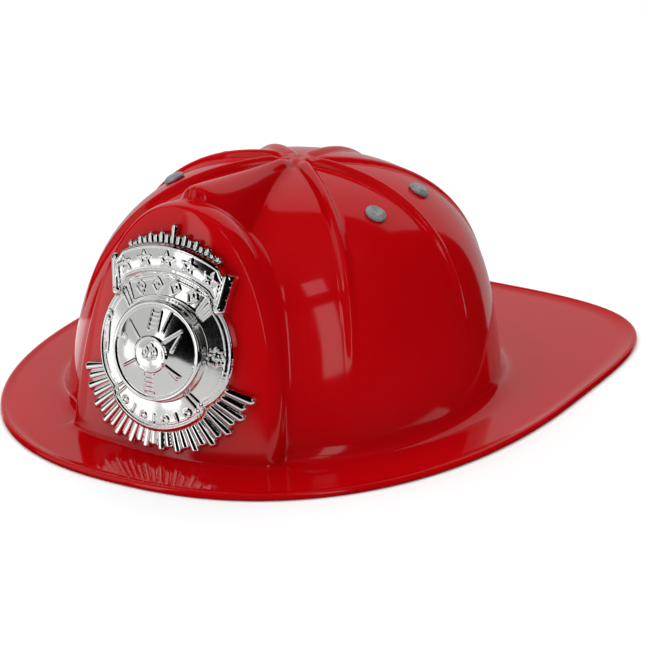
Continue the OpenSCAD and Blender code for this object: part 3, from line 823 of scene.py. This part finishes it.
# ---- brow pad ----
BAND_HALF_W = 75.5
BAND_HALF_L = 94.0
BAND_Y = -5.0
PAD_START = 1.27                         # from the headband's outside to the pad's back
PAD_T = 2.9
PAD_LOW = 6.2
PAD_HIGH = 27.8
PAD_TURN = 58
CHANNEL_TURN = 14.5


def pad_ring(turn, swell, around):
    """One rounded section of the pad, thinner in the sewn channels and at the ends."""
    past_channel = (math.degrees(turn) + 60) % CHANNEL_TURN - CHANNEL_TURN / 2
    channel = 1 - 0.22 * math.exp(-(past_channel / 0.9) ** 2)
    ring = []
    for k in np.arange(around) * 2 * math.pi / around:
        u = math.copysign(abs(math.cos(k)) ** 0.45, math.cos(k))
        v = math.copysign(abs(math.sin(k)) ** 0.3, math.sin(k))
        depth = PAD_START + PAD_T / 2 * (1 + u * (channel if u > 0 else 1.0) * (0.5 + 0.5 * swell))
        z = (PAD_LOW + PAD_HIGH) / 2 + (PAD_HIGH - PAD_LOW) / 2 * v * (0.93 + 0.07 * swell)
        x, y = (BAND_HALF_W - depth) * math.sin(turn), BAND_Y - (BAND_HALF_L - depth) * math.cos(turn)
        ring.append([x, y, z])
    return ring


def build_pad():
    """A foam strip inside the front of the headband, with rounded edges and shallow sewn channels."""
    along, around = 160, 28
    rows = []
    for i, turn in enumerate(np.radians(np.linspace(-PAD_TURN, PAD_TURN, along))):
        end = min(1.0, min(i, along - 1 - i) / 5)
        rows.append(pad_ring(turn, math.sqrt(1 - (1 - end) ** 2), around))
    grid = np.array(rows)
    points = np.concatenate([grid.reshape(-1, 3), [grid[0].mean(0), grid[-1].mean(0)]])
    faces = grid_faces(along, around, wrap=True).tolist()
    first, last = len(points) - 2, len(points) - 1
    base = (along - 1) * around
    faces += [[first, (i + 1) % around, i] for i in range(around)]
    faces += [[last, base + i, base + (i + 1) % around] for i in range(around)]
    piece = place("brow_pad_foam", points, faces, "pad_foam")
    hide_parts("brow_pad")


build_pad()


# ---- studio ----
FLOOR_R = 15.0
HELMET_MIDDLE = Vector((0, 0, 0.05))
CAMERA_AZIMUTH = 28.256
CAMERA_ELEVATION = 19.545
CAMERA_ROLL = 1.121
CAMERA_TARGET = Vector((15.96, -10.84, 29.85)) * MM
CAMERA_DISTANCE = 1.1719
CAMERA_LENS = 144.33767                  # for a sensor 36 wide


def floor_material(name, value):
    """Matt white, clear from below so that the underside can be seen."""
    mat, shader = material(name, Roughness=0.9)
    vary(mat, shader, "Base Color", noise(mat, 0.7, 2), [(0.3, grey(value)), (0.7, grey(value * 0.99))])
    side = node(mat, "ShaderNodeNewGeometry")
    clear = node(mat, "ShaderNodeBsdfTransparent")
    both = node(mat, "ShaderNodeMixShader")
    wire(mat, side, "Backfacing", both, "Fac")
    wire(mat, shader, "BSDF", both, 1)
    wire(mat, clear, "BSDF", both, 2)
    wire(mat, both, "Shader", mat.node_tree.nodes["Material Output"], "Surface")
    return mat


def build_floor():
    """A white floor, open under the helmet up to the rim, so that the lamp below lights the inside."""
    count = 128
    turns = np.arange(count) * 2 * math.pi / count
    inner = (rim(turns) + CROWN) * [1, 1, 0] * MM
    points = inner.tolist() + [[FLOOR_R * math.sin(t), -FLOOR_R * math.cos(t), 0] for t in turns]
    faces = [[i, i + count, (i + 1) % count + count, (i + 1) % count] for i in range(count)]
    mesh = bpy.data.meshes.new("studio_floor")
    mesh.from_pydata(points, [], faces)
    mesh.materials.append(floor_material("floor_white", 0.9))
    floor = bpy.data.objects.new("studio_floor", mesh)
    bpy.context.scene.collection.objects.link(floor)
    floor.visible_glossy = False


def towards(azimuth, elevation, distance):
    a, e = math.radians(azimuth), math.radians(elevation)
    return Vector((math.sin(a) * math.cos(e), -math.cos(a) * math.cos(e), math.sin(e))) * distance


def facing(obj, centre, target):
    """Stands an object at the centre, with its -z side turned to the target and hidden from the camera."""
    obj.location = centre
    obj.rotation_mode = "QUATERNION"
    obj.rotation_quaternion = (target - centre).to_track_quat("-Z", "Y")
    obj.visible_camera = False
    bpy.context.scene.collection.objects.link(obj)


def softbox(name, centre, width, height, glow, reflected=True, target=None):
    """A rectangular lamp of this radiance; one that isn't reflected only fills."""
    light = bpy.data.lights.new(name, "AREA")
    light.shape = "RECTANGLE"
    light.size, light.size_y = width, height
    light.energy = glow * math.pi * width * height
    obj = bpy.data.objects.new(name, light)
    obj.visible_glossy = reflected
    facing(obj, centre, target or HELMET_MIDDLE)


def build_camera():
    back = towards(CAMERA_AZIMUTH, CAMERA_ELEVATION, 1)
    azimuth, roll = math.radians(CAMERA_AZIMUTH), math.radians(CAMERA_ROLL)
    right = Vector((math.cos(azimuth), math.sin(azimuth), 0))
    up = back.cross(right)
    turned_right = math.cos(roll) * right + math.sin(roll) * up
    turned_up = math.cos(roll) * up - math.sin(roll) * right
    data = bpy.data.cameras.new("photo_camera")
    data.sensor_width = 36
    data.lens = CAMERA_LENS
    data.clip_start, data.clip_end = 0.05, 60
    cam = bpy.data.objects.new("photo_camera", data)
    matrix = Matrix((turned_right, turned_up, back)).transposed().to_4x4()
    matrix.translation = CAMERA_TARGET + back * CAMERA_DISTANCE
    cam.matrix_world = matrix
    bpy.context.scene.collection.objects.link(cam)
    bpy.context.scene.camera = cam


def build_lamps():
    """Cards that the gloss and the chrome reflect, and lamps that only fill."""
    softbox("left_wide", towards(-48, 22, 1.3), 1.12, 1.8, 0.58)
    softbox("front_strip", towards(-17.5, 18, 1.5), 0.3, 1.5, 1.6)
    softbox("right_strip", towards(64, 26, 1.3), 0.26, 0.8, 1.7)
    softbox("right_pane", towards(63, 56, 1.3), 0.24, 0.22, 1.5)
    softbox("backdrop", towards(208, 18, 2.2), 4.0, 3.8, 0.5)
    softbox("overhead", Vector((-0.2, 0.1, 1.6)), 2.4, 2.4, 1.75, reflected=False)
    softbox("fill", towards(30, 22, 2.4), 2.4, 1.4, 0.5, reflected=False)
    softbox("floor_card", Vector((-0.4, -0.75, 0.002)), 1.1, 1.5, 0.66, target=Vector((-0.4, -0.75, 1)))
    softbox("below", Vector((0, 0, -0.9)), 0.9, 0.9, 2.2, reflected=False)


def build_world():
    """An even white that lights everything but isn't reflected."""
    world = bpy.data.worlds.new("studio")
    bpy.context.scene.world = world
    world.use_nodes = True
    background = world.node_tree.nodes["Background"]
    background.inputs["Color"].default_value = (1, 1, 1, 1)
    background.inputs["Strength"].default_value = 0.3
    world.cycles_visibility.glossy = False


build_camera()
build_floor()
build_lamps()
build_world()
bpy.context.scene.view_settings.view_transform = "Standard"
